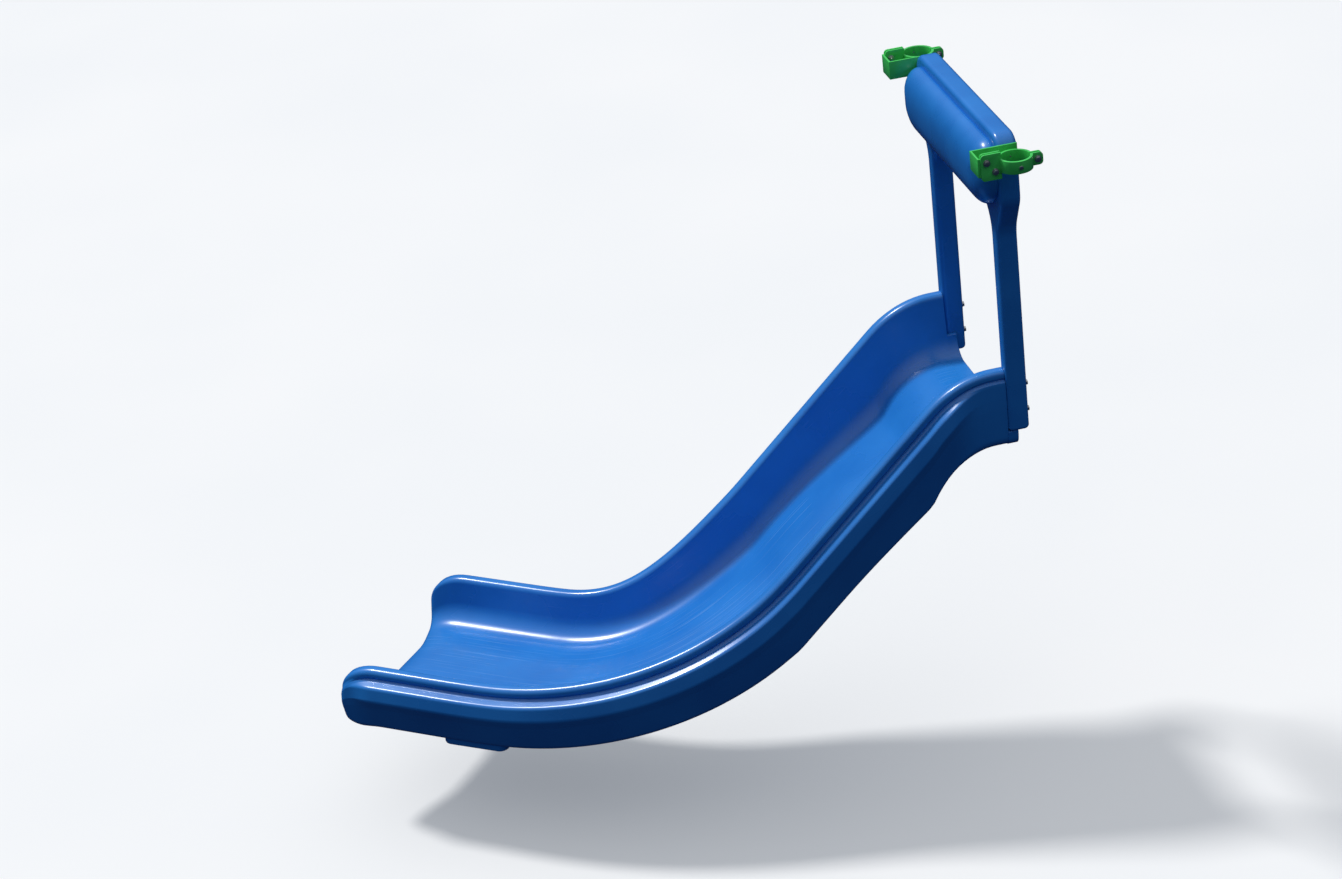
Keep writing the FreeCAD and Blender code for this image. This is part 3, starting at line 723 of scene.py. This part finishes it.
    def build_foot_band(self, finishes: FinishSet) -> None:
        """Thickened band across the underside for a ground support."""
        station = self.foot_station
        length, width, drop = self.foot_size
        base = self.corners(station)[0][1]
        corners = [(along * length / 2.0, side * width / 2.0, self.foot_round)
                   for along, side in ((-1, -1), (1, -1), (1, 1), (-1, 1))]
        stages = [(-drop, 7.0), (-drop + 0.8, 4.0), (-drop + 2.6, 1.6), (-drop + 6.0, 0.0), (6.0, 0.0)]
        x, y, _ = self.on_line(station)
        cosine, sine = math.cos(self.heading(station)), math.sin(self.heading(station))
        rings = [[Vector((x + along * cosine - side * sine, y + along * sine + side * cosine, base + lift))
                  for along, side in rounded_outline(corners, inset)] for lift, inset in stages]
        skin = Loft(rings, [lift for lift, _ in stages]).build()
        make_piece("chute_foot_band", skin, finishes.get("chute"), ["chute"])


# ---------------------------------------------------------------- hood
@dataclass
class Hood:
    """Doorway frame with two legs and a padded header.  Sizes in millimetres."""

    deck_level: float = 25.0
    rear: float = -36.0
    front: float = 32.0
    brow_front: float = 97.0
    half_width: float = 408.0
    leg_half_width: float = 348.0
    door_half_width: float = 290.0
    door_top: float = 772.0
    flare: tuple[float, float] = (690.0, 800.0)
    top: float = 1018.0
    brow_top: float = 990.0
    leg_foot: float = 2.0
    rim_round: float = 16.0
    outline_steps: int = 10
    brow_overlap: float = 8.0
    brow_crease: float = 18.0
    brow_dome: tuple[float, float] = (60.0, 100.0)         # how far it bulges, how far in it rounds

    def arch_corners(self) -> list[Corner]:
        """Anticlockwise corners of the doorway frame seen along the run."""
        deck = self.deck_level
        foot, top, door = deck + self.leg_foot, deck + self.top, deck + self.door_top
        left = [
            (self.door_half_width, foot, 8.0), (self.leg_half_width, foot, 12.0),
            (self.leg_half_width, deck + self.flare[0], 120.0), (self.half_width, deck + self.flare[1], 80.0),
            (self.half_width, top, 60.0),
        ]
        right = [(-y, z, radius) for y, z, radius in reversed(left)]
        return left + right + [(-self.door_half_width, door, 110.0), (self.door_half_width, door, 110.0)]

    def build(self, finishes: FinishSet) -> None:
        """Make the frame and its padded header."""
        self.build_arch(finishes)
        self.build_brow(finishes)

    def build_arch(self, finishes: FinishSet) -> None:
        """Frame with rounded rims front and back."""
        radius = self.rim_round
        turns = quarter_turn(6)
        rear = [(self.rear + radius - radius * math.cos(a), radius - radius * math.sin(a)) for a in turns]
        front = [(self.front - radius + radius * math.sin(a), radius - radius * math.cos(a)) for a in turns]
        skin = self.skin(self.arch_corners(), rear + front)
        make_piece("hood_frame", skin, finishes.get("hood"), ["hood"])

    def skin(self, corners: Sequence[Corner], stages: Stages) -> bmesh.types.BMesh:
        """A loft along the run of one outline, moved inwards by each stage's inset."""
        rings = [[Vector((x, y, z)) for y, z in rounded_outline(corners, inset, self.outline_steps)]
                 for x, inset in stages]
        return Loft(rings, [x for x, _ in stages]).build()

    def build_brow(self, finishes: FinishSet) -> None:
        """Padded header: a soft pillow that meets the frame in a crease."""
        deck = self.deck_level
        half, low, high = self.half_width - 7.0, deck + self.door_top - 1.0, deck + self.brow_top
        corners = [(-half, low, 106.0), (half, low, 106.0), (half, high, 80.0), (-half, high, 80.0)]
        crease = self.brow_crease
        depth, pillow = self.brow_dome
        turns = quarter_turn(8)
        start = self.front - self.brow_overlap
        back = [(start + crease - crease * math.cos(a), crease - crease * math.sin(a)) for a in turns]
        bulge = self.brow_front + 1.5 - depth
        dome = [(bulge + depth * math.sin(a), pillow - pillow * math.cos(a)) for a in turns]
        skin = self.skin(corners, back + dome)
        make_piece("hood_padded_header", skin, finishes.get("hood"), ["hood_brow"])


# ---------------------------------------------------------------- clamps and hardware
@dataclass
class PostClamps:
    """Two-piece post clamps and the brackets that tie them to the hood."""

    sides: tuple[str, str] = ("left", "right")
    edge_round: float = 1.1

    def build(self, finishes: FinishSet) -> None:
        """Make both clamps with softened edges."""
        green = finishes.get(Slot.GREEN.value)
        for side in self.sides:
            for part in ("clamp_outer_half", "clamp_inner_half", "hood_bracket"):
                node = f"{side}_{part}"
                make_piece(node + "_coated", softened_copy(node, self.edge_round), green, [node])


@dataclass
class Fasteners:
    """Bolts, nuts and washers with softened edges; inserts and plugs keep their CAD shape."""

    zinc_parts: tuple[str, ...] = (
        "left_clamp_bolts", "left_clamp_nuts", "left_clamp_washers", "left_clamp_lock_screws",
        "right_clamp_bolts", "right_clamp_nuts", "right_clamp_washers", "right_clamp_lock_screws",
        "hood_leg_bolts", "hood_leg_washers", "bracket_bolts", "bracket_washers",
    )
    black_parts: tuple[str, ...] = ("foot_bolts", "foot_washers")
    edge_round: float = 0.7
    washer_round: float = 0.35

    def build(self, finishes: FinishSet) -> None:
        """Make the visible hardware and dress the rest."""
        for names, slot in ((self.zinc_parts, Slot.ZINC), (self.black_parts, Slot.BLACK_STEEL)):
            for node in names:
                skin = softened_copy(node, self.washer_round if "washer" in node else self.edge_round)
                make_piece(node + "_finished", skin, finishes.get(slot.value), [node])
        self.dress_nodes(finishes)

    def dress_nodes(self, finishes: FinishSet) -> None:
        """Give every CAD node, shown or not, its slot's material."""
        slots = {part["node"]: part["material_slot"] for part in frame["record"]["subparts"]}
        for node, piece in frame["nodes"].items():
            piece.data.materials.clear()
            piece.data.materials.append(finishes.get(slots[node]))
            LOG.info("dressed %-24s %s", node, slots[node])


# ---------------------------------------------------------------- studio
@dataclass
class Studio:
    """Pale floor, soft light and the camera.  Sizes in metres."""

    ground: float = -1.194
    eye: tuple[float, float, float] = (2.9197, 9.7620, 5.0757)
    look: tuple[float, float, float] = (-0.3951, -0.8135, -0.4267)
    focal_px: float = 1207.5
    image: tuple[int, int] = (1342, 879)
    aim_px: tuple[float, float] = (384.0, 488.0)
    zoom: float = 2.92
    sensor: float = 36.0
    sun_from: tuple[float, float, float] = (0.42, -0.48, 1.0)
    sun_energy: float = 2.45
    zenith_light: float = 0.66
    horizon_light: float = 0.12
    under_light: float = 0.5
    floor_half_size: float = 30.0
    sun_spread: float = 9.0

    def build(self, finish: FloorPaint) -> None:
        """Make the floor, lights, world and camera."""
        self.build_floor(finish)
        self.build_lights()
        self.build_camera()

    def build_floor(self, finish: FloorPaint) -> None:
        """Wide floor under the slide."""
        bm = bmesh.new()
        bmesh.ops.create_grid(bm, x_segments=4, y_segments=4, size=self.floor_half_size)
        bmesh.ops.translate(bm, verts=bm.verts, vec=(0.0, 0.0, self.ground))
        mesh = bpy.data.meshes.new("floor")
        bm.to_mesh(mesh)
        bm.free()
        mesh.materials.append(finish.make())
        floor = bpy.data.objects.new("floor", mesh)
        bpy.context.scene.collection.objects.link(floor)
        floor.visible_diffuse = False           # keeps the shaded sides deep, as under a soft box
        floor.visible_glossy = False

    def build_lights(self) -> None:
        """High soft sun and a pale sky that serves as the wide fill."""
        scene = bpy.context.scene
        world = bpy.data.worlds.new("studio sky")
        world.use_nodes = True
        self.paint_sky(world.node_tree)
        scene.world = world
        sun = bpy.data.lights.new("key", "SUN")
        sun.energy = self.sun_energy
        sun.angle = math.radians(self.sun_spread)
        sun.color = (1.0, 0.985, 0.96)
        key = bpy.data.objects.new("key", sun)
        key.rotation_euler = (-Vector(self.sun_from)).to_track_quat("-Z", "Y").to_euler()
        scene.collection.objects.link(key)
        scene.view_settings.view_transform = "Standard"
        LOG.info("lights placed")

    def paint_sky(self, tree: Tree) -> None:
        """A sky that is bright overhead, paler towards the horizon and dim below it."""
        tree.nodes.clear()
        ray = add_node(tree, "ShaderNodeTexCoord").outputs["Generated"]
        height = add_node(tree, "ShaderNodeSeparateXYZ", Vector=ray).outputs["Z"]
        above = fade(tree, height, 0.0, 0.9)
        colour = mix_colour(tree, above, linear("#7C98D8"), linear("#FFFFFF"))
        power = fade(tree, above, 0.0, 1.0, self.horizon_light, self.zenith_light)
        below = fade(tree, height, -0.05, 0.0, self.under_light, 1.0)
        strength = calculate(tree, "MULTIPLY", power, below)
        sky = add_node(tree, "ShaderNodeBackground", Color=colour, Strength=strength)
        add_node(tree, "ShaderNodeOutputWorld", Surface=sky.outputs["Background"])

    def build_camera(self) -> None:
        """Camera at the viewing angle, aimed at the slide."""
        forward = Vector(self.look).normalized()
        right = forward.cross(Vector((0.0, 0.0, 1.0))).normalized()
        up = right.cross(forward)
        across = self.aim_px[0] - self.image[0] / 2.0
        down = self.aim_px[1] - self.image[1] / 2.0
        aim = forward * self.focal_px + right * across - up * down
        data = bpy.data.cameras.new("camera")
        data.sensor_width = self.sensor
        data.lens = self.focal_px / self.image[0] * self.sensor * self.zoom
        data.clip_end = 200.0
        camera = bpy.data.objects.new("camera", data)
        camera.location = self.eye
        straight = forward.to_track_quat("-Z", "Y")
        camera.rotation_euler = (forward.rotation_difference(aim) @ straight).to_euler()
        bpy.context.scene.collection.objects.link(camera)
        bpy.context.scene.camera = camera
        LOG.info("camera lens %.1f mm", data.lens)


def main() -> None:
    """Build the slide in its order of assembly, then the studio round it."""
    logging.basicConfig(level=logging.INFO, format="%(name)s: %(message)s", stream=sys.stdout)
    finishes = FinishSet()
    for assembly in (Chute(), Hood(), PostClamps(), Fasteners()):
        LOG.info("building %s", type(assembly).__name__)
        assembly.build(finishes)
    Studio().build(FloorPaint())
    bpy.context.view_layer.update()


if __name__ == "__main__":
    main()
